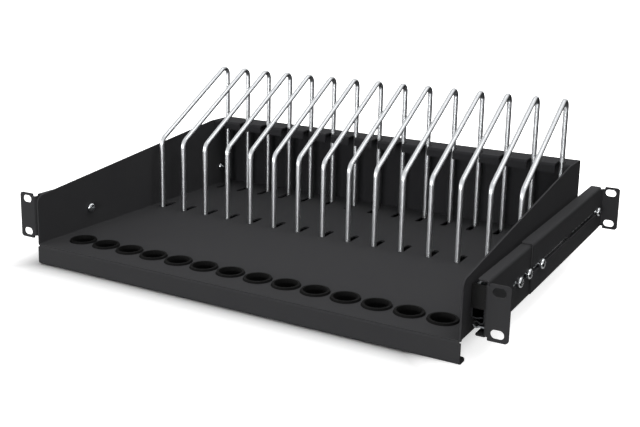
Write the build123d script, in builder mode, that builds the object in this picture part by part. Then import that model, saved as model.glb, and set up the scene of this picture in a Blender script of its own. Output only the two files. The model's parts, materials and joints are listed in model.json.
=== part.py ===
from build123d import *
import os
from math import asin, atan2, cos, degrees, hypot, radians, sin

os.makedirs("parts", exist_ok=True)

# Sliding rack shelf: a folded steel tray with upright wire dividers and cable bushings,
# carried by two three-member ball slides between depth-adjustable rack brackets.
# Millimetres. Origin at the centre of the four front ear slots, on the ears' front face.
# +X is the user's right, +Y goes into the rack and +Z is up.

# Rack interface
panel_width = 482.6
ear_reach = 18.1
ear_height = 43.5
ear_hole_inset = 8.75
ear_hole_rise = 31.75
ear_slot_length = 10.5
ear_slot_width = 7.0
ear_corner_radius = 3.0
rail_depth = 340.0

# Rack brackets
bracket_sheet = 1.2
bracket_bend = 1.0
nest_play = 0.1
flange_width = 9.0
flange_corner = 2.0
front_flange_setback = 4.2
rear_flange_setback = 9.0
rear_web_drop = 19.6
relief_depth = 2.5
relief_width = 0.9
relief_corner = 1.0
front_bracket_length = 228.0
rear_bracket_start = 104.0
clamp_slot_width = 5.0
front_slot_start = 62.0
rear_slot_lead = 3.5
slot_end_land = 12.0

# Tray
tray_depth = 310.0
tray_front = -10.8
tray_sheet = 1.5
tray_bend = 1.2
floor_level = -22.2
lip_drop = 19.0
lip_return = 13.5
lip_corner = 4.0
wall_setback = 0.4
corner_relief = 1.4
wall_front_height = 45.6
wall_rear_height = 77.3
wall_slope_run = 274.0
wall_front_radius = 7.0
wall_crown_radius = 40.0
wall_rear_radius = 3.0

# Rear panel
cap_depth = 33.0
cap_lip = 8.7
notch_width = 7.5
notch_land = 1.0
panel_side_gap = 0.15

# Wire dividers
divider_side_room = 10.0
rod_diameter = 5.0
front_leg_place = 167.8
leg_spacing = 120.8
front_bend_height = 73.2
top_bend_height = 143.1
front_bend_radius = 10.0
top_bend_radius = 7.0
foot_bend_radius = 3.2
foot_length = 9.0
foot_slot_length = 24.0
foot_slot_play = 0.4
foot_drop = 0.1
foot_channel_sheet = 1.0
foot_channel_depth = 7.0
foot_channel_flange = 7.0
foot_channel_room = 2.0
foot_channel_seat = 0.05

# Cable bushings
bushing_place = 31.7
bushing_hole = 22.0
bushing_flange = 25.7
bushing_spacing = 2.4
bushing_bore = 18.4
bushing_flare = 1.0
bushing_rim = 1.7
bushing_depth = 8.0
bushing_play = 0.1
bushing_barb = 0.6

# Ball slides
slide_depth = 12.7
slide_height = 35.0
slide_front = 8.0
slide_rear_room = 12.0
outer_sheet = 1.2
middle_sheet = 1.0
inner_sheet = 1.1
slide_bend = 0.6
ball_diameter = 3.5
ball_play = 0.05
middle_web_gap = 0.7
ball_row_inset = 3.4
ball_row_drop = 3.3
ball_count = 4
ball_spacing = 36.0
cage_length = 120.0
cage_sheet = 0.3
cage_wrap = 1.2
pocket_play = 0.12
slide_hole = 4.5
slide_hole_count = 5
slide_hole_pitch = 16.0
slide_hole_end = 28.0
end_cap_sheet = 2.0
end_cap_rise = 17.2
end_cap_drop = 1.5
end_cap_play = 0.3
end_cap_seat = 0.1
end_cap_plug = (4.5, 6.0, 14.0)
end_cap_pip = 0.9
end_cap_pip_rows = (14.2, 9.6, 5.0)
end_cap_pip_inset = 1.4

# Screws
screw_diameter = 4.0
head_diameter = 8.8
head_height = 3.6
head_round = 2.0
recess_length = 4.6
recess_width = 0.9
recess_depth = 1.3
thread_play = 0.05
seat_play = 0.05
front_screw_places = (73.7, 97.4)
front_clamp_place = 128.5
rear_clamp_inset = 20.6
tray_screw_front_inset = 68.4
tray_screw_rear_inset = 21.2
tray_screw_reach = 1.5
tray_screw_drop = 1.8
spacer_diameter = 9.0

# Places worked out from the sizes above
slide_back = panel_width / 2 - ear_reach - bracket_sheet
tray_side = slide_back - slide_depth
tray_inside = tray_side - tray_sheet
tray_rear = tray_front + tray_depth
floor_underside = floor_level - tray_sheet
wall_top = floor_level + wall_rear_height
front_web_u = -bracket_sheet
rear_web_u = front_web_u - nest_play - bracket_sheet
flange_edge_u = front_web_u + flange_width
front_channel_half = ear_height / 2
rear_flange_top = front_channel_half + nest_play + bracket_sheet
fold_half = front_channel_half - relief_depth
front_slot_end = front_bracket_length - slot_end_land
rear_slot_start = rear_bracket_start + rear_slot_lead
rear_slot_end = rail_depth - slot_end_land
slide_length = rail_depth - slide_rear_room - slide_front
clamp_screw_places = (front_clamp_place, rail_depth - rear_clamp_inset)
tray_screw_places = (tray_front + tray_screw_front_inset, tray_rear - tray_screw_rear_inset)
front_leg_y = tray_front + front_leg_place
rear_leg_y = front_leg_y + leg_spacing
bushing_y = tray_front + bushing_place
rod_radius = rod_diameter / 2
divider_pitch = bushing_flange + bushing_spacing
divider_count = 1 + int(2 * (tray_side - divider_side_room) / divider_pitch)
divider_places = [(i - (divider_count - 1) / 2) * divider_pitch for i in range(divider_count)]
bushing_places = [(a + b) / 2 for a, b in zip(divider_places, divider_places[1:])]


def write(builder, label):
    """Label a finished piece and write it as one STEP file."""
    builder.part.label = label
    export_step(builder.part, f"parts/{label}.step")


def rail_section(y):
    """Plane across the left rail at depth y: u runs from the slide's back to the tray, v is up."""
    return Plane(origin=(-slide_back, y, 0), x_dir=(1, 0, 0), z_dir=(0, -1, 0))


def folded(plane, points, inside_radius, sheet):
    """Section of a sheet folded along a centre line, with one inside radius at every bend."""
    with BuildSketch(plane) as section:
        with BuildLine():
            FilletPolyline(*points, radius=inside_radius + sheet / 2)
        trace(line_width=sheet)
    return section.sketch


def bracket_section(y, web_face, top, rest):
    """Section of a rack bracket: a top flange, a web with its outer face at web_face, and the rest."""
    web = web_face + bracket_sheet / 2
    points = [(flange_edge_u, top - bracket_sheet / 2), (web, top - bracket_sheet / 2)]
    points += [(web if u is None else u, v) for u, v in rest]
    return folded(rail_section(y), points, bracket_bend, bracket_sheet)


def ear_fold(web_face, web_end, ear_face):
    """Plan section that turns the left web outwards into the ear, from web_end to the ear."""
    web = -slide_back + web_face + bracket_sheet / 2
    points = [(web, web_end), (web, ear_face), (-panel_width / 2, ear_face)]
    return folded(Plane.XY, points, bracket_bend, bracket_sheet)


def ear_outline(web_face, ear_front):
    """Left ear beyond the relief at its fold: large radii outside, small ones at the relief."""
    inner = slide_back - web_face + bracket_bend + relief_width
    width = panel_width / 2 - inner
    with BuildSketch(Plane.XZ.offset(-ear_front)) as outline:
        with Locations((-inner - width / 2, 0)):
            Rectangle(width, ear_height)
        corners = outline.vertices().sort_by(Axis.X)
        fillet(corners[:2], ear_corner_radius)
        fillet(outline.vertices().sort_by(Axis.X)[-2:], relief_corner)
    return outline.sketch


def ear_slots(ear_front):
    """The two rack slots of a left ear."""
    with BuildSketch(Plane.XZ.offset(-ear_front)) as slots:
        with Locations((ear_hole_inset - panel_width / 2, 0)):
            with GridLocations(0, ear_hole_rise, 1, 2):
                SlotOverall(ear_slot_length, ear_slot_width)
    return slots.sketch


def web_slot(start, end):
    """Long clamp slot through a left web, seen from the side."""
    with BuildSketch(Plane.YZ.offset(-slide_back)) as slot:
        with Locations(((start + end) / 2, 0)):
            SlotOverall(end - start, clamp_slot_width)
    return slot.sketch


def flange_corners(builder, y):
    """The upright edges at the free corners of a left bracket's flanges at depth y."""
    edges = builder.edges().filter_by(Axis.Z).filter_by_position(Axis.Y, y - 0.01, y + 0.01)
    return edges.group_by(Axis.X)[-1]


# Front bracket: channel whose web is folded outwards into the front ear
front_flange_v = bracket_sheet / 2 - front_channel_half

with BuildPart() as front_bracket_left:
    extrude(bracket_section(front_flange_setback, front_web_u, front_channel_half,
                            [(None, front_flange_v), (flange_edge_u, front_flange_v)]),
            amount=front_flange_setback - front_bracket_length)
    fillet(flange_corners(front_bracket_left, front_flange_setback), flange_corner)
    fillet(flange_corners(front_bracket_left, front_bracket_length), flange_corner)
    front_fold = ear_fold(front_web_u, front_flange_setback, bracket_sheet / 2)
    extrude(front_fold, amount=fold_half, both=True)
    extrude(ear_outline(front_web_u, 0), amount=-bracket_sheet)
    extrude(ear_slots(0), amount=-bracket_sheet, mode=Mode.SUBTRACT)
    extrude(web_slot(front_slot_start, front_slot_end), amount=2 * front_web_u, both=True,
            mode=Mode.SUBTRACT)

# Rear bracket: angle that laps over the front bracket from above and ends in the rear ear
rear_ear_front = rail_depth - bracket_sheet
rear_flange_end = rail_depth - rear_flange_setback

with BuildPart() as rear_bracket_left:
    extrude(bracket_section(rear_bracket_start, rear_web_u, rear_flange_top, [(None, -rear_web_drop)]),
            amount=rear_bracket_start - rear_flange_end)
    fillet(flange_corners(rear_bracket_left, rear_bracket_start), flange_corner)
    fillet(flange_corners(rear_bracket_left, rear_flange_end), flange_corner)
    rear_fold = ear_fold(rear_web_u, rear_flange_end, rail_depth - bracket_sheet / 2)
    extrude(rear_fold, amount=fold_half, both=True)
    extrude(ear_outline(rear_web_u, rear_ear_front), amount=-bracket_sheet)
    extrude(ear_slots(rear_ear_front), amount=-bracket_sheet, mode=Mode.SUBTRACT)
    extrude(web_slot(rear_slot_start, rear_slot_end), amount=2 * rear_web_u, both=True,
            mode=Mode.SUBTRACT)

# Ball slide: each member is a cold-rolled section. The balls run at (ball_u, ball_v) for the
# inner row and one row step further out for the outer row, above and below the slide's middle.
ball_radius = ball_diameter / 2
outer_arc = ball_radius + ball_play + outer_sheet / 2
middle_arc = ball_radius + ball_play + middle_sheet / 2
inner_arc = ball_radius + ball_play + inner_sheet / 2
outer_row_v = slide_height / 2 - outer_sheet - ball_play - ball_radius
inner_row_v = outer_row_v - ball_row_drop
middle_web_u = outer_sheet + middle_web_gap + middle_sheet / 2
inner_row_u = middle_web_u + middle_arc
outer_row_u = inner_row_u + ball_row_inset

# Where each member's arcs start and end around the balls, in degrees
outer_shoulder, outer_lip_end = 140, 10
middle_shoulder, middle_lip_end = 180, 345
inner_shoulder, inner_lip_end = -40, -115


def on_arc(centre, radius, angle):
    """Point on a circle at an angle in degrees."""
    return (centre[0] + radius * cos(radians(angle)), centre[1] + radius * sin(radians(angle)))


def rolled(points, inside_radius, arcs, sheet, joins=()):
    """Symmetric rolled section: a folded run, then arcs around balls, each with its join."""
    with BuildSketch(rail_section(slide_front)) as section:
        with BuildLine():
            if len(points) > 2:
                FilletPolyline(*points, radius=inside_radius + sheet / 2)
            else:
                Line(*points)
            for centre, radius, start, sweep in arcs:
                CenterArc(centre, radius, start, sweep)
            for join in joins:
                Line(*join)
        trace(line_width=sheet)
        mirror(about=Plane.XZ)
    return section.sketch


outer_ball_at = (outer_row_u, outer_row_v)
inner_ball_at = (inner_row_u, inner_row_v)

outer_shoulder_at = on_arc(outer_ball_at, outer_arc, outer_shoulder)
outer_run = [(outer_sheet / 2, 0), (outer_sheet / 2, outer_shoulder_at[1]), outer_shoulder_at]
last_slide_hole = slide_front + slide_length - slide_hole_end
slide_hole_places = [last_slide_hole - i * slide_hole_pitch for i in range(slide_hole_count)]

with BuildPart() as slide_outer_left:
    extrude(rolled(outer_run, slide_bend,
                   [(outer_ball_at, outer_arc, outer_shoulder, outer_lip_end - outer_shoulder)],
                   outer_sheet), amount=-slide_length)
    with BuildSketch(Plane.YZ.offset(-slide_back)) as screw_row:
        with Locations(*[(y, 0) for y in front_screw_places + clamp_screw_places]):
            Circle(screw_diameter / 2 + thread_play)
        with Locations(*[(y, 0) for y in slide_hole_places]):
            Circle(slide_hole / 2)
    extrude(screw_row.sketch, amount=outer_sheet, mode=Mode.SUBTRACT)

# The middle member rises past the inner balls, folds over them, crosses on the common tangent
# of the two ball circles and cups the outer balls from below.
row_step_length = hypot(ball_row_inset, ball_row_drop)
row_step_angle = degrees(atan2(ball_row_drop, ball_row_inset))
crossing_angle = row_step_angle - degrees(asin(2 * middle_arc / row_step_length))
middle_top_end = crossing_angle + 90
middle_cup_start = crossing_angle + 270

middle_run = [(middle_web_u, 0), on_arc(inner_ball_at, middle_arc, middle_shoulder)]

with BuildPart() as slide_middle_left:
    extrude(rolled(middle_run, slide_bend,
                   [(inner_ball_at, middle_arc, middle_shoulder, middle_top_end - middle_shoulder),
                    (outer_ball_at, middle_arc, middle_cup_start, middle_lip_end - middle_cup_start)],
                   middle_sheet,
                   [(on_arc(inner_ball_at, middle_arc, middle_top_end),
                     on_arc(outer_ball_at, middle_arc, middle_cup_start))]), amount=-slide_length)

inner_web_u = slide_depth - inner_sheet / 2
inner_shoulder_at = on_arc(inner_ball_at, inner_arc, inner_shoulder)
inner_run = [(inner_web_u, 0), (inner_web_u, inner_shoulder_at[1]), inner_shoulder_at]

with BuildPart() as slide_inner_left:
    extrude(rolled(inner_run, slide_bend,
                   [(inner_ball_at, inner_arc, inner_shoulder, inner_lip_end - inner_shoulder)],
                   inner_sheet), amount=-slide_length)
    with BuildSketch(Plane.YZ.offset(-tray_side)) as tray_screw_row:
        with Locations(*[(y, -tray_screw_drop) for y in tray_screw_places]):
            Circle(screw_diameter / 2 + thread_play)
    extrude(tray_screw_row.sketch, amount=-inner_sheet, mode=Mode.SUBTRACT)

# End cap: black moulded plate before the slide's upper half, plugged into the inner member
end_cap_back = slide_front - end_cap_seat
end_cap_near = slide_back - end_cap_play
end_cap_far = tray_side + end_cap_play
plug_width, plug_length, plug_height = end_cap_plug

with BuildPart() as slide_end_cap_left:
    with BuildSketch(Plane.XZ.offset(-end_cap_back)):
        with Locations((-(end_cap_near + end_cap_far) / 2, (end_cap_rise - end_cap_drop) / 2)):
            RectangleRounded(end_cap_near - end_cap_far, end_cap_rise + end_cap_drop, end_cap_pip)
    extrude(amount=end_cap_sheet)
    with BuildSketch(Plane.XZ.offset(-end_cap_back)):
        with Locations((-tray_side - inner_sheet - end_cap_seat - plug_width / 2, plug_height / 4)):
            Rectangle(plug_width, plug_height / 2)
    extrude(amount=-plug_length)
    with BuildSketch(Plane.XZ.offset(end_cap_sheet - end_cap_back)):
        with Locations(*[(end_cap_pip_inset - end_cap_near, v) for v in end_cap_pip_rows]):
            Circle(end_cap_pip)
    extrude(amount=end_cap_pip / 2)

# Balls and their cages: folded strips with a pocket for every ball, clear of both members
cage_start = slide_front + (slide_length - cage_length) / 2
cage_middle = slide_front + slide_length / 2
ball_y = [cage_middle + (i - (ball_count - 1) / 2) * ball_spacing for i in range(ball_count)]
outer_ball_spots = [(-slide_back + outer_row_u, y, v) for y in ball_y for v in (outer_row_v, -outer_row_v)]
inner_ball_spots = [(-slide_back + inner_row_u, y, v) for y in ball_y for v in (inner_row_v, -inner_row_v)]
outer_cage_web = outer_sheet + middle_web_gap / 2
outer_cage_v = (outer_shoulder_at[1] - outer_sheet / 2 + inner_row_v + middle_arc + middle_sheet / 2) / 2
outer_cage_edge = outer_row_u + cage_wrap
inner_cage_web = middle_web_u + middle_sheet / 2 + cage_sheet
inner_cage_v = (outer_row_v - middle_arc - middle_sheet / 2 + inner_shoulder_at[1] + inner_sheet / 2) / 2
inner_cage_edge = outer_row_u


def cage(web, flange, edge, spots):
    """Left ball cage: a channel section strip with a round pocket around every ball."""
    points = [(edge, flange), (web, flange), (web, -flange), (edge, -flange)]
    with BuildPart() as strip:
        extrude(folded(rail_section(cage_start), points, cage_sheet, cage_sheet), amount=-cage_length)
        with Locations(*spots):
            Sphere(ball_radius + pocket_play, mode=Mode.SUBTRACT)
    return strip.part


with BuildPart() as outer_cage_left:
    add(cage(outer_cage_web, outer_cage_v, outer_cage_edge, outer_ball_spots))
with BuildPart() as inner_cage_left:
    add(cage(inner_cage_web, inner_cage_v, inner_cage_edge, inner_ball_spots))
with BuildPart() as outer_balls_left:
    with Locations(*outer_ball_spots):
        Sphere(ball_radius)
with BuildPart() as inner_balls_left:
    with Locations(*inner_ball_spots):
        Sphere(ball_radius)


def pan_screw(shank):
    """Cross-recessed pan head screw along +X, its head seated at x = 0 and its shank on the +X side."""
    with BuildPart() as screw:
        with BuildSketch(Plane.YZ):
            Circle(head_diameter / 2)
        extrude(amount=-head_height)
        fillet(screw.edges().sort_by(Axis.X)[0], head_round)
        with Locations((-head_height, 0, 0)):
            Box(2 * recess_depth, recess_length, recess_width, mode=Mode.SUBTRACT)
            Box(2 * recess_depth, recess_width, recess_length, mode=Mode.SUBTRACT)
        with BuildSketch(Plane.YZ):
            Circle(screw_diameter / 2)
        extrude(amount=shank)
    return screw.part


front_screw = pan_screw(bracket_sheet + outer_sheet)
clamp_screw = pan_screw(seat_play - rear_web_u + outer_sheet)
tray_screw = mirror(pan_screw(tray_sheet + inner_sheet + tray_screw_reach), about=Plane.YZ)

with BuildPart() as front_screws_left:
    for place in front_screw_places:
        add(Pos(-slide_back + front_web_u, place, 0) * front_screw)
with BuildPart() as clamp_screws_left:
    for place in clamp_screw_places:
        add(Pos(-slide_back + rear_web_u - seat_play, place, 0) * clamp_screw)
with BuildPart() as tray_screws_left:
    for place in tray_screw_places:
        add(Pos(-tray_inside, place, -tray_screw_drop) * tray_screw)

# Spacer that makes up the missing front bracket behind the rearmost clamp screw
spacer_width = -rear_web_u - bracket_sheet - seat_play
with BuildPart() as clamp_spacer_left:
    with BuildSketch(Plane.YZ.offset(-slide_back)):
        with Locations((clamp_screw_places[1], 0)):
            Circle(spacer_diameter / 2)
            Circle(screw_diameter / 2 + thread_play, mode=Mode.SUBTRACT)
    extrude(amount=-spacer_width)

# Tray: floor and side walls folded up from one sheet, trimmed to the sloping side outline
wall_front = tray_front + wall_setback
wall_front_top = floor_level + wall_front_height
slope_end = tray_front + wall_slope_run
lip_centre = tray_front + tray_sheet / 2
floor_centre = floor_level - tray_sheet / 2
lip_bottom = floor_level - lip_drop
lip_root = wall_front + 2 * tray_bend
slot_half_width = rod_radius + foot_slot_play
foot_slot_shift = foot_slot_length / 2 - slot_half_width

with BuildPart() as tray:
    side_centre = tray_side - tray_sheet / 2
    tray_section = [(-side_centre, wall_top), (-side_centre, floor_centre),
                    (side_centre, floor_centre), (side_centre, wall_top)]
    extrude(folded(Plane.XZ.offset(-wall_front), tray_section, tray_bend, tray_sheet),
            amount=wall_front - tray_rear)
    with BuildSketch(Plane.YZ) as side_outline:
        with BuildLine():
            FilletPolyline((wall_front, floor_underside), (wall_front, wall_front_top),
                           (slope_end, wall_top), (tray_rear, wall_top), (tray_rear, floor_underside),
                           radius=(wall_front_radius, wall_crown_radius, wall_rear_radius))
            Line((tray_rear, floor_underside), (wall_front, floor_underside))
        make_face()
    extrude(amount=tray_side, both=True, mode=Mode.INTERSECT)
    lip_fold = [(lip_root, floor_centre), (lip_centre, floor_centre),
                (lip_centre, lip_bottom + tray_sheet / 2),
                (tray_front + lip_return, lip_bottom + tray_sheet / 2)]
    extrude(folded(Plane.YZ, lip_fold, tray_bend, tray_sheet), amount=tray_side, both=True)
    with Locations(*[(x, tray_front, floor_underside) for x in (-tray_side, tray_side)]):
        Box(2 * corner_relief, 4 * corner_relief, corner_relief, mode=Mode.SUBTRACT)
    return_ends = tray.edges().filter_by(Axis.Z).filter_by_position(
        Axis.Z, lip_bottom, lip_bottom + tray_sheet)
    fillet(return_ends.group_by(Axis.Y)[-1], lip_corner)
    with BuildSketch(Plane.XY.offset(floor_level)) as bushing_holes:
        with Locations(*[(x, bushing_y) for x in bushing_places]):
            Circle(bushing_hole / 2)
    extrude(amount=-tray_sheet, mode=Mode.SUBTRACT)
    with BuildSketch(Plane.XY.offset(floor_level)) as foot_slots:
        for x in divider_places:
            with Locations((x, front_leg_y + foot_slot_shift), (x, rear_leg_y - foot_slot_shift)):
                SlotOverall(foot_slot_length, 2 * slot_half_width, rotation=90)
    extrude(amount=-tray_sheet, mode=Mode.SUBTRACT)
    with BuildSketch(Plane.YZ) as tray_screw_holes:
        with Locations(*[(y, -tray_screw_drop) for y in tray_screw_places]):
            Circle(screw_diameter / 2 + thread_play)
    extrude(amount=tray_side, both=True, mode=Mode.SUBTRACT)

# Rear panel: stands on the floor between the walls, its top folded forwards into a notched cap
panel_centre = tray_rear - tray_sheet / 2
cap_centre = wall_top - tray_sheet / 2
cap_front = tray_rear - cap_depth
panel_half = tray_inside - panel_side_gap
notch_end = rear_leg_y + slot_half_width
notch_depth = notch_end - cap_front

with BuildPart() as rear_panel:
    panel_fold = [(panel_centre, floor_level), (panel_centre, cap_centre),
                  (cap_front + tray_sheet / 2, cap_centre), (cap_front + tray_sheet / 2, wall_top - cap_lip)]
    extrude(folded(Plane.YZ, panel_fold, tray_bend, tray_sheet), amount=panel_half, both=True)
    foot_corners = rear_panel.edges().filter_by(Axis.Y).group_by(Axis.Z)[0]
    chamfer(foot_corners, tray_bend)
    with BuildSketch(Plane.XY.offset(wall_top)) as notches:
        for x in divider_places:
            with Locations((x, notch_end - notch_depth / 2)):
                Rectangle(notch_width, notch_depth)
        round_ends = notches.vertices().group_by(Axis.Y)[-1]
        fillet(round_ends, (notch_width - notch_land) / 2)
    extrude(amount=-cap_lip, mode=Mode.SUBTRACT)

# Wire divider: front leg, sloping run, rear leg and two feet hooked outwards under the floor
foot_level = floor_underside - foot_drop - rod_radius
front_bend_level = floor_level + front_bend_height
top_bend_level = floor_level + top_bend_height

with BuildPart() as divider_wire:
    with BuildLine(Plane.YZ) as wire_path:
        FilletPolyline((front_leg_y - foot_length, foot_level), (front_leg_y, foot_level),
                       (front_leg_y, front_bend_level), (rear_leg_y, top_bend_level),
                       (rear_leg_y, foot_level), (rear_leg_y + foot_length, foot_level),
                       radius=(foot_bend_radius, front_bend_radius, top_bend_radius, foot_bend_radius))
    with BuildSketch(Plane(origin=wire_path.line @ 0, z_dir=wire_path.line % 0)):
        Circle(rod_radius)
    sweep(path=wire_path.line)

# Foot channels: hat sections under the floor that close off the feet and their slots
channel_top = floor_underside - foot_channel_seat - foot_channel_sheet / 2
channel_floor = channel_top - foot_channel_depth
channel_reach = foot_slot_length - slot_half_width + foot_channel_room
channel_back = foot_length + foot_channel_room
foot_channel_half = divider_places[-1] + foot_channel_flange

with BuildPart() as foot_channels:
    for leg, side in ((front_leg_y, 1), (rear_leg_y, -1)):
        low, high = sorted((leg - side * channel_back, leg + side * channel_reach))
        hat = [(low - foot_channel_flange, channel_top), (low, channel_top), (low, channel_floor),
               (high, channel_floor), (high, channel_top), (high + foot_channel_flange, channel_top)]
        extrude(folded(Plane.YZ, hat, bracket_bend, foot_channel_sheet), amount=foot_channel_half, both=True)
write(foot_channels, "foot_channels")

# Cable bushing: flared flange on the floor, neck through the hole and a snap barb under it
neck_radius = bushing_hole / 2 - bushing_play
bore_radius = bushing_bore / 2
flange_radius = bushing_flange / 2

with BuildPart() as bushing_ring:
    with BuildSketch(Plane.XZ):
        with BuildLine():
            Polyline((bore_radius + bushing_flare, bushing_rim),
                     (flange_radius - bushing_rim / 2, bushing_rim), (flange_radius, 0),
                     (neck_radius, 0), (neck_radius, -tray_sheet - bushing_play),
                     (neck_radius + bushing_barb, -tray_sheet - bushing_play),
                     (bore_radius + bushing_barb, bushing_rim - bushing_depth),
                     (bore_radius, bushing_rim - bushing_depth), (bore_radius, -tray_sheet),
                     close=True)
        make_face()
    revolve(axis=Axis.Z)

for number, x in enumerate(divider_places, 1):
    with BuildPart() as divider:
        add(Pos(x, 0, 0) * divider_wire.part)
    write(divider, f"divider_{number:02d}")

for number, x in enumerate(bushing_places, 1):
    with BuildPart() as bushing:
        add(Pos(x, bushing_y, floor_level) * bushing_ring.part)
    write(bushing, f"bushing_{number:02d}")

write(tray, "tray")
write(rear_panel, "rear_panel")

left_pieces = {
    "front_bracket": front_bracket_left,
    "rear_bracket": rear_bracket_left,
    "slide_outer_member": slide_outer_left,
    "slide_middle_member": slide_middle_left,
    "slide_inner_member": slide_inner_left,
    "slide_end_cap": slide_end_cap_left,
    "outer_ball_cage": outer_cage_left,
    "inner_ball_cage": inner_cage_left,
    "outer_balls": outer_balls_left,
    "inner_balls": inner_balls_left,
    "front_screws": front_screws_left,
    "clamp_screws": clamp_screws_left,
    "clamp_spacer": clamp_spacer_left,
    "tray_screws": tray_screws_left,
}
for name, left_piece in left_pieces.items():
    with BuildPart() as right_piece:
        mirror(left_piece.part, about=Plane.YZ)
    write(left_piece, f"{name}_left")
    write(right_piece, f"{name}_right")
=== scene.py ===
import json
import math

import bpy
import numpy as np
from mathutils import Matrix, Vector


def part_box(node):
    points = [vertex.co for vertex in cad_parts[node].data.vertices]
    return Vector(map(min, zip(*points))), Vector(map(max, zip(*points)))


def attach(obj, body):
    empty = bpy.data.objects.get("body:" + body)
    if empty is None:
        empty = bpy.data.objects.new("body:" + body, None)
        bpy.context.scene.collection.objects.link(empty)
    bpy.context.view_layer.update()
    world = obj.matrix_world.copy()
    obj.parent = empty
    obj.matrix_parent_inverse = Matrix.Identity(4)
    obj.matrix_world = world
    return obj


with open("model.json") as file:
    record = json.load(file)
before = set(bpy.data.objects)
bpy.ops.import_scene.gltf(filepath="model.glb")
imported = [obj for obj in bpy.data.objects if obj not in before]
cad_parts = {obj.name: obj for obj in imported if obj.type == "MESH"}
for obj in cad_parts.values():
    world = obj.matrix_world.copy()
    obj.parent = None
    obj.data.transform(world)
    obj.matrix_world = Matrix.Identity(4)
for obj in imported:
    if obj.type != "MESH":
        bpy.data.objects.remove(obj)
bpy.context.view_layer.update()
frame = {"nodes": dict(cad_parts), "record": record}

MM = 0.001


def linear(code):
    """An sRGB hex colour as linear red, green, blue and alpha."""
    values = [int(code[i:i + 2], 16) / 255 for i in (1, 3, 5)]
    return [v / 12.92 if v <= 0.04045 else ((v + 0.055) / 1.055) ** 2.4 for v in values] + [1.0]


def per_metre(size_mm):
    """Texture scale that makes one feature about this many millimetres wide."""
    return 1000 / size_mm


def fill(tree, node, **sockets):
    """Fills a node's sockets with values, or links them to other nodes' outputs.

    A socket is given by its name, with _ for a space, or by its number, as in_0.
    """
    for key, value in sockets.items():
        index = int(key[3:]) if key.startswith("in_") else key.replace("_", " ")
        if isinstance(value, bpy.types.NodeSocket):
            tree.links.new(value, node.inputs[index])
        else:
            node.inputs[index].default_value = value


def add_node(tree, kind, settings=None, **sockets):
    """Adds a node, sets its properties and fills its sockets."""
    node = tree.nodes.new(kind)
    for key, value in (settings or {}).items():
        setattr(node, key, value)
    fill(tree, node, **sockets)
    return node


def surface(name, **sockets):
    """A material with one Principled shader, and its tree, shader and object coordinates."""
    material = bpy.data.materials.new(name)
    material.use_nodes = True
    tree = material.node_tree
    tree.nodes.clear()
    shader = add_node(tree, "ShaderNodeBsdfPrincipled", **sockets)
    add_node(tree, "ShaderNodeOutputMaterial", Surface=shader.outputs[0])
    place = add_node(tree, "ShaderNodeTexCoord").outputs["Object"]
    return material, tree, shader, place


def powder_coat(name, thin, thick):
    """Black polyester powder coat, sprayed dry and baked on folded steel sheet.

    To the eye it is an even matt black that turns charcoal under the light, with almost no sheen: the
    coat's fine texture breaks up every reflection. The melt leaves an orange peel about 1.4 mm wide,
    and the film is a touch thicker in places, so its tone drifts over some 40 mm.
    """
    material, tree, shader, place = surface(name, IOR=1.5, Specular_IOR_Level=0.1)
    drift = add_node(tree, "ShaderNodeTexNoise", Vector=place, Scale=per_metre(40), Detail=1.0)
    peel = add_node(tree, "ShaderNodeTexNoise", Vector=place, Scale=per_metre(1.4), Detail=2.0)
    tone = add_node(tree, "ShaderNodeMix", {"data_type": "RGBA"}, in_0=drift.outputs["Fac"],
                    in_6=linear(thin), in_7=linear(thick))
    satin = add_node(tree, "ShaderNodeMapRange", Value=drift.outputs["Fac"], To_Min=0.72, To_Max=0.82)
    relief = add_node(tree, "ShaderNodeBump", Distance=0.012 * MM, Height=peel.outputs["Fac"])
    fill(tree, shader, Base_Color=tone.outputs[2], Roughness=satin.outputs[0], Normal=relief.outputs[0])
    return material


def chrome_rod():
    """Chrome plate on drawn round wire, polished lightly before plating.

    To the eye it is a satin silver: each wire has a soft white streak between grey edges. The plate's
    waves, about 6 mm long, make the streak swim a little, and the drawing marks, 1.2 mm wide, vary
    its softness.
    """
    material, tree, shader, place = surface("chrome_plated_wire", Metallic=1.0,
                                            Base_Color=linear("#ced0d2"))
    waves = add_node(tree, "ShaderNodeTexNoise", Vector=place, Scale=per_metre(6), Detail=2.0)
    marks = add_node(tree, "ShaderNodeTexNoise", Vector=place, Scale=per_metre(1.2), Detail=2.0)
    haze = add_node(tree, "ShaderNodeMapRange", Value=marks.outputs["Fac"], To_Min=0.33, To_Max=0.39)
    relief = add_node(tree, "ShaderNodeBump", Distance=0.004 * MM, Height=waves.outputs["Fac"])
    fill(tree, shader, Roughness=haze.outputs[0], Normal=relief.outputs[0])
    return material


def bushing_nylon():
    """Black nylon 66, injection moulded in a spark-eroded tool.

    Deep black and matt: the tool leaves a fine grain, drawn 0.8 mm wide so that it shows.
    """
    material, tree, shader, place = surface("moulded_black_nylon", IOR=1.53, Specular_IOR_Level=0.06,
                                            Base_Color=linear("#0b0b0b"))
    grain = add_node(tree, "ShaderNodeTexNoise", Vector=place, Scale=per_metre(0.8), Detail=2.0)
    matt = add_node(tree, "ShaderNodeMapRange", Value=grain.outputs["Fac"], To_Min=0.62, To_Max=0.75)
    relief = add_node(tree, "ShaderNodeBump", Distance=0.02 * MM, Height=grain.outputs["Fac"])
    fill(tree, shader, Roughness=matt.outputs[0], Normal=relief.outputs[0])
    return material


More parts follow.
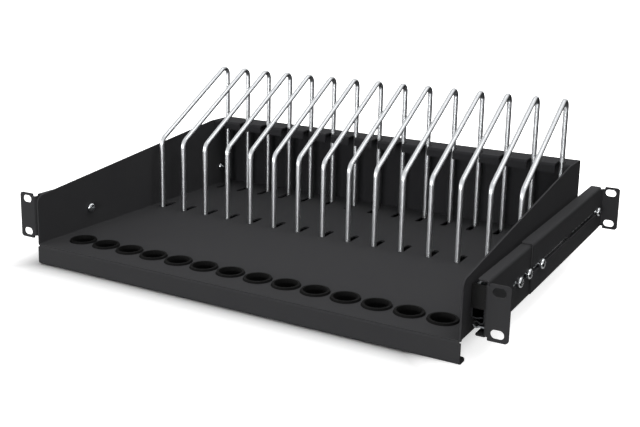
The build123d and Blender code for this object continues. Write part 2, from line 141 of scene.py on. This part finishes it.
def cap_abs():
    """Black ABS, injection moulded in a polished tool.

    As black as the bushings but glossier, so the pips on the slide's end cap catch a dim light. The
    tool's polish waves gently over 3 mm.
    """
    material, tree, shader, place = surface("moulded_black_abs", IOR=1.54, Specular_IOR_Level=0.2,
                                            Base_Color=linear("#0a0a0a"))
    waves = add_node(tree, "ShaderNodeTexNoise", Vector=place, Scale=per_metre(3), Detail=1.0)
    gloss = add_node(tree, "ShaderNodeMapRange", Value=waves.outputs["Fac"], To_Min=0.3, To_Max=0.4)
    relief = add_node(tree, "ShaderNodeBump", Distance=0.01 * MM, Height=waves.outputs["Fac"])
    fill(tree, shader, Roughness=gloss.outputs[0], Normal=relief.outputs[0])
    return material


def zinc_steel(name, dark, light, rough, streak_mm):
    """Zinc plate on cold-rolled or turned steel, passivated clear. A darker copy is painted shade on the
    slides' middle and inner members, and a brighter copy is a painted highlight on the slides' ribs.

    Neither mirror nor matt: rolling or turning marks run along y and stretch the highlights, and the
    passivation clouds the colour over some 5 mm. Clear, it is a cool silver.
    """
    material, tree, shader, place = surface(name, Metallic=1.0)
    cloud = add_node(tree, "ShaderNodeTexNoise", Vector=place, Scale=per_metre(5), Detail=3.0)
    along = add_node(tree, "ShaderNodeMapping", Vector=place, Scale=(1.0, 0.06, 1.0))
    marks = add_node(tree, "ShaderNodeTexNoise", Vector=along.outputs[0], Scale=per_metre(streak_mm))
    tone = add_node(tree, "ShaderNodeMix", {"data_type": "RGBA"}, in_0=cloud.outputs["Fac"],
                    in_6=linear(dark), in_7=linear(light))
    brushed = add_node(tree, "ShaderNodeMapRange", Value=marks.outputs["Fac"], To_Min=rough - 0.06,
                       To_Max=rough + 0.08)
    relief = add_node(tree, "ShaderNodeBump", Distance=0.01 * MM, Height=marks.outputs["Fac"])
    fill(tree, shader, Base_Color=tone.outputs[2], Roughness=brushed.outputs[0],
         Normal=relief.outputs[0])
    return material


def bearing_steel():
    """Hardened chrome steel balls, lapped: a small clean mirror with a film of grease."""
    material, tree, shader, place = surface("lapped_bearing_steel", Metallic=1.0,
                                            Base_Color=linear("#c9cacc"))
    film = add_node(tree, "ShaderNodeTexNoise", Vector=place, Scale=per_metre(1.5), Detail=2.0)
    wet = add_node(tree, "ShaderNodeMapRange", Value=film.outputs["Fac"], To_Min=0.08, To_Max=0.2)
    fill(tree, shader, Roughness=wet.outputs[0])
    return material


# Finishes by the record's slots, then those of pieces that differ from their slot: moulded ABS on the
# end caps, and darker copies that are painted shade on the rear panel and on the slides' middle and
# inner members
finishes = {
    "powder_coat": powder_coat("black_powder_coat", "#333335", "#383839"),
    "rod_chrome": chrome_rod(),
    "bushing_black": bushing_nylon(),
    "slide_zinc": zinc_steel("zinc_plated_slide_steel", "#85888b", "#a2a5a8", rough=0.38, streak_mm=0.9),
    "screw_zinc": zinc_steel("zinc_plated_screw", "#c2c5c8", "#dadcdd", rough=0.22, streak_mm=0.6),
    "ball_steel": bearing_steel(),
}
# A darker copy of the slide zinc for the slides' middle and inner members: painted shade for the shade
# between the tray's wall and the bracket
slide_zinc_painted_shade = zinc_steel("zinc_plated_slide_steel_painted_shade", "#2b2c2e", "#38393b", rough=0.42, streak_mm=0.9)
cap_plastic = cap_abs()
# The rear panel's coat is a darker copy of the same black powder coat: painted shade for the shade in
# the rear of the tray
own_finishes_and_painted_shade = {"rear_panel": powder_coat("rear_panel_powder_coat_painted_shade", "#28282a", "#2c2c2e")}
for side in ("left", "right"):
    own_finishes_and_painted_shade[f"slide_middle_member_{side}"] = slide_zinc_painted_shade
    own_finishes_and_painted_shade[f"slide_inner_member_{side}"] = slide_zinc_painted_shade
    own_finishes_and_painted_shade[f"slide_end_cap_{side}"] = cap_plastic
for part in frame["record"]["subparts"]:
    slots = frame["nodes"][part["node"]].data.materials
    slots.clear()
    slots.append(own_finishes_and_painted_shade.get(part["node"], finishes[part["material_slot"]]))


# Ribs on the slides' backs, in a zinc brighter than the slide's as a painted highlight: their section,
# and the y where they start and end. From 224 to 300 mm a short one starts every 11.5 mm.
RIB_RISE, RIB_HALF_WIDTH, RIB_Z = 0.5 * MM, 0.6 * MM, -1.0 * MM
LONG_RIBS = [(54 * MM, 73 * MM), (111 * MM, 128 * MM), (138 * MM, 216 * MM)]
SHORT_RIB_LENGTH = 7 * MM
SHORT_RIB_STARTS = np.arange(224, 300, 11.5) * MM
# The ribs' zinc is a brighter copy of the slide zinc: a painted highlight
rib_zinc_painted_highlight = zinc_steel("zinc_plated_steel_painted_highlight", "#d8dadc", "#eceded", rough=0.3, streak_mm=0.6)
slide_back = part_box("slide_outer_member_right")[1].x


def slide_rib(name, outward, start, end):
    """Rib rolled up on the back of a slide's outer member, from one y to another, its zinc brighter than
    the slide's as a painted highlight.

    Across it is a half ellipse: x = back + rise * sin(t), z = rib z + half width * cos(t), for t from
    0 to pi. The rise follows sin(pi s) ** 0.25 along the rib, so both ends run out into the sheet.
    outward is -1 on the left slide and 1 on the right one.
    """
    t = np.linspace(0, np.pi, 9)[:, None]
    s = np.linspace(0, 1, 17)[None, :]
    rise = RIB_RISE * np.sin(np.pi * s).clip(0, 1) ** 0.25
    x = outward * (slide_back + rise * np.sin(t))
    y = start + (end - start) * s + 0 * t
    z = RIB_Z + RIB_HALF_WIDTH * np.cos(t) + 0 * s
    points = np.stack([x, y, z], -1)
    if outward > 0:
        points = points[::-1]
    index = np.arange(points[..., 0].size).reshape(points.shape[:2])
    quads = np.stack([index[:-1, :-1], index[:-1, 1:], index[1:, 1:], index[1:, :-1]], -1)
    mesh = bpy.data.meshes.new(name)
    mesh.from_pydata(points.reshape(-1, 3).tolist(), [], quads.reshape(-1, 4).tolist())
    mesh.shade_smooth()
    mesh.materials.append(rib_zinc_painted_highlight)
    rib = bpy.data.objects.new(name, mesh)
    bpy.context.scene.collection.objects.link(rib)
    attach(rib, "rails")


short_ribs = [(y, y + SHORT_RIB_LENGTH) for y in SHORT_RIB_STARTS]
for side, outward in (("left", -1), ("right", 1)):
    for number, (start, end) in enumerate(LONG_RIBS + short_ribs, 1):
        slide_rib(f"slide_rib_{number:02d}_{side}", outward, start, end)


def end_plate(name, low, high):
    """Plate that closes the end of a foot channel, riding on the tray.

    It is a box: each of its eight corners takes x, y and z from the low corner or from the high one,
    and its six faces go round their corners so that they face outwards.
    """
    points = np.array([low, high])[np.indices((2, 2, 2)).reshape(3, 8).T, [0, 1, 2]]
    faces = [(0, 1, 3, 2), (4, 6, 7, 5), (0, 4, 5, 1), (2, 3, 7, 6), (0, 2, 6, 4), (1, 5, 7, 3)]
    mesh = bpy.data.meshes.new(name)
    mesh.from_pydata(points.tolist(), [], faces)
    mesh.materials.append(finishes["powder_coat"])
    plate = bpy.data.objects.new(name, mesh)
    bpy.context.scene.collection.objects.link(plate)
    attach(plate, "tray")


# Each foot channel is a hat section, and its plates stand inside it with a little play
CHANNEL_WIDTH, CHANNEL_FLANGE, CHANNEL_SHEET = 48 * MM, 7 * MM, 1 * MM
PLATE_SHEET, PLATE_PLAY = 1 * MM, 0.1 * MM
inset = CHANNEL_FLANGE + CHANNEL_SHEET + PLATE_PLAY
channels_low, channels_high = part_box("foot_channels")
for row, start in (("front", channels_low.y), ("rear", channels_high.y - CHANNEL_WIDTH)):
    for side, x in (("left", channels_low.x), ("right", channels_high.x - PLATE_SHEET)):
        end_plate(f"foot_channel_plate_{row}_{side}",
                  (x, start + inset, channels_low.z + CHANNEL_SHEET + PLATE_PLAY),
                  (x + PLATE_SHEET, start + CHANNEL_WIDTH - inset, channels_high.z - PLATE_PLAY))


def soft_light(name, place, aim, size, power):
    """A square softbox at a place, facing a point. Its side is in metres and its power in watts."""
    lamp = bpy.data.lights.new(name, "AREA")
    lamp.shape, lamp.size, lamp.energy = "SQUARE", size, power
    box = bpy.data.objects.new(name, lamp)
    box.location = place
    away = np.array(place) - np.array(aim)
    box.rotation_euler = (math.atan2(math.hypot(away[0], away[1]), away[2]), 0,
                          math.atan2(away[0], -away[1]))
    bpy.context.scene.collection.objects.link(box)
    return box


def black_flag(name, *corners):
    """A black card that only metal and gloss see: it draws the dark edge lines on chrome."""
    mesh = bpy.data.meshes.new(name)
    mesh.from_pydata(corners, [], [list(range(len(corners)))])
    felt = surface("black_felt_card", Base_Color=linear("#0a0a0a"), Roughness=1.0,
                   Specular_IOR_Level=0.0)[0]
    mesh.materials.append(felt)
    card = bpy.data.objects.new(name, mesh)
    bpy.context.scene.collection.objects.link(card)
    card.visible_camera = card.visible_diffuse = False
    card.visible_shadow = card.visible_transmission = False


def white_room(overhead, horizon):
    """White where the camera, metal and glass look, and a fill that fades from overhead to the horizon.

    A matt surface gets the fill: its strength follows the height of the ray's direction, and is full
    from a height of 0.8 up.
    """
    world = bpy.data.worlds.new("white_room")
    bpy.context.scene.world = world
    world.use_nodes = True
    tree = world.node_tree
    tree.nodes.clear()
    rays = add_node(tree, "ShaderNodeLightPath").outputs
    seen = add_node(tree, "ShaderNodeMath", {"operation": "MAXIMUM"}, in_0=rays["Is Camera Ray"],
                    in_1=rays["Is Glossy Ray"])
    seen = add_node(tree, "ShaderNodeMath", {"operation": "MAXIMUM"}, in_0=seen.outputs[0],
                    in_1=rays["Is Transmission Ray"])
    direction = add_node(tree, "ShaderNodeTexCoord").outputs["Generated"]
    height = add_node(tree, "ShaderNodeSeparateXYZ", Vector=direction).outputs["Z"]
    matt = add_node(tree, "ShaderNodeMapRange", Value=height, From_Max=0.8, To_Min=horizon,
                    To_Max=overhead)
    strength = add_node(tree, "ShaderNodeMix", {"data_type": "FLOAT"}, in_0=seen.outputs[0],
                        in_2=matt.outputs[0], in_3=1.0).outputs[0]
    shade = add_node(tree, "ShaderNodeBackground", Color=linear("#ffffff"), Strength=strength)
    add_node(tree, "ShaderNodeOutputWorld", Surface=shade.outputs[0])


def white_floor(height, reach, lifts):
    """Round pale floor under the shelf, which keeps the shelf's shadow.

    It bounces less light up at the shelf than its tone would. The camera sees it lifted towards white.
    Each lift gives a rectangle's low and high corner, the two distances from it between which the
    lift grows, and how much it adds. The distance from a rectangle is the larger of
    |x - centre x| - half x and |y - centre y| - half y.
    """
    sides = 64
    angle = np.linspace(0, 2 * np.pi, sides + 1)[:-1]
    rim = np.column_stack([reach * np.cos(angle), reach * np.sin(angle), np.full(sides, height)])
    mesh = bpy.data.meshes.new("studio_floor")
    mesh.from_pydata(rim.tolist(), [], [list(range(sides))])
    floor = bpy.data.objects.new("studio_floor", mesh)
    bpy.context.scene.collection.objects.link(floor)
    material, tree, shader, place = surface("pale_paper_floor", Roughness=0.9, Specular_IOR_Level=0.1)
    rays = add_node(tree, "ShaderNodeLightPath").outputs
    tone = add_node(tree, "ShaderNodeMix", {"data_type": "RGBA"}, in_0=rays["Is Diffuse Ray"],
                    in_6=linear("#d4d4d4"), in_7=linear("#606060"))
    fill(tree, shader, Base_Color=tone.outputs[2])
    total = 0.0
    for low, high, start, end, share in lifts:
        away = add_node(tree, "ShaderNodeVectorMath", {"operation": "SUBTRACT"}, in_0=place,
                        in_1=(low + high) / 2)
        away = add_node(tree, "ShaderNodeVectorMath", {"operation": "ABSOLUTE"}, in_0=away.outputs[0])
        away = add_node(tree, "ShaderNodeVectorMath", {"operation": "SUBTRACT"}, in_0=away.outputs[0],
                        in_1=(high - low) / 2)
        away = add_node(tree, "ShaderNodeSeparateXYZ", Vector=away.outputs[0]).outputs
        away = add_node(tree, "ShaderNodeMath", {"operation": "MAXIMUM"}, in_0=away["X"],
                        in_1=away["Y"])
        lift = add_node(tree, "ShaderNodeMapRange", Value=away.outputs[0], From_Min=start,
                        From_Max=end, To_Max=share)
        total = add_node(tree, "ShaderNodeMath", {"operation": "ADD"}, in_0=total,
                         in_1=lift.outputs[0]).outputs[0]
    total = add_node(tree, "ShaderNodeMath", {"operation": "MULTIPLY"}, in_0=total,
                     in_1=rays["Is Camera Ray"])
    glow = add_node(tree, "ShaderNodeEmission", Strength=total.outputs[0])
    both = add_node(tree, "ShaderNodeAddShader", in_0=shader.outputs[0], in_1=glow.outputs[0])
    fill(tree, tree.nodes["Material Output"], Surface=both.outputs[0])
    mesh.materials.append(material)


# The floor lies half a millimetre below the tray. The shelf's shade on it stops short of the shelf's
# right side, and is deepest under the front lip.
SHADE_SHORT_OF_RIGHT, LIP_SHADE_END = 45 * MM, 50 * MM
shade_low, shade_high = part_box("tray")
lowest = shade_low.z - 0.5 * MM
shade_high.x -= SHADE_SHORT_OF_RIGHT
lip_high = shade_high.copy()
lip_high.y = LIP_SHADE_END
white_room(overhead=0.35, horizon=0.08)
white_floor(height=lowest, reach=9.0, lifts=[(shade_low, lip_high, 0.0, 0.04, 0.35),
                                             (shade_low, shade_high, 0.0, 0.04, 0.45),
                                             (shade_low, shade_high, 0.05, 0.45, 1.0)])

# The softboxes above and behind light only matt surfaces, and the streak softbox draws the white
# core along the wires
overhead = soft_light("overhead_softbox", (0.15, -0.05, 1.4), (0, 0.12, 0), size=2.0, power=15)
back = soft_light("back_softbox", (-0.6, 2.6, 0.4), (0, 0.2, 0), size=0.8, power=45)
overhead.visible_glossy = back.visible_glossy = False
soft_light("streak_softbox", (0.55, 0.3, 1.35), (0, 0.2, 0.1), size=0.4, power=3.2)
soft_light("front_left_softbox", (-2.9, -1.9, 0.30), (0, 0.1, 0), size=1.1, power=50)
soft_light("front_softbox", (0.6, -2.6, 0.2), (0, 0.1, 0), size=0.8, power=44)

# One card lies on the table behind the shelf and to its right, and one stands at the far right
above = lowest + 1 * MM
black_flag("black_flag_on_the_table", (-1.5, 0.36, above), (0.26, 0.36, above), (0.26, -0.2, above),
           (3.0, -0.2, above), (3.0, 3.0, above), (-1.5, 3.0, above))
black_flag("black_flag_at_the_right", (0.4, 2.0, lowest), (2.2, 0.1, lowest), (2.2, 0.1, 0.5),
           (0.4, 2.0, 0.5))

# Camera, fitted to the ear slots, the tray's corners and the wires in the photograph
camera = bpy.data.cameras.new("photo_camera")
camera.sensor_width = 36.0
camera.lens = 53.47
camera.shift_x, camera.shift_y = 0.0006, -0.0932
view = bpy.data.objects.new("photo_camera", camera)
view.location = (0.43295, -0.62107, 0.25282)
view.rotation_euler = [math.radians(a) for a in (77.7845, -1.1746, 29.6219)]
bpy.context.scene.collection.objects.link(view)
bpy.context.scene.camera = view
bpy.context.scene.view_settings.view_transform = "Standard"
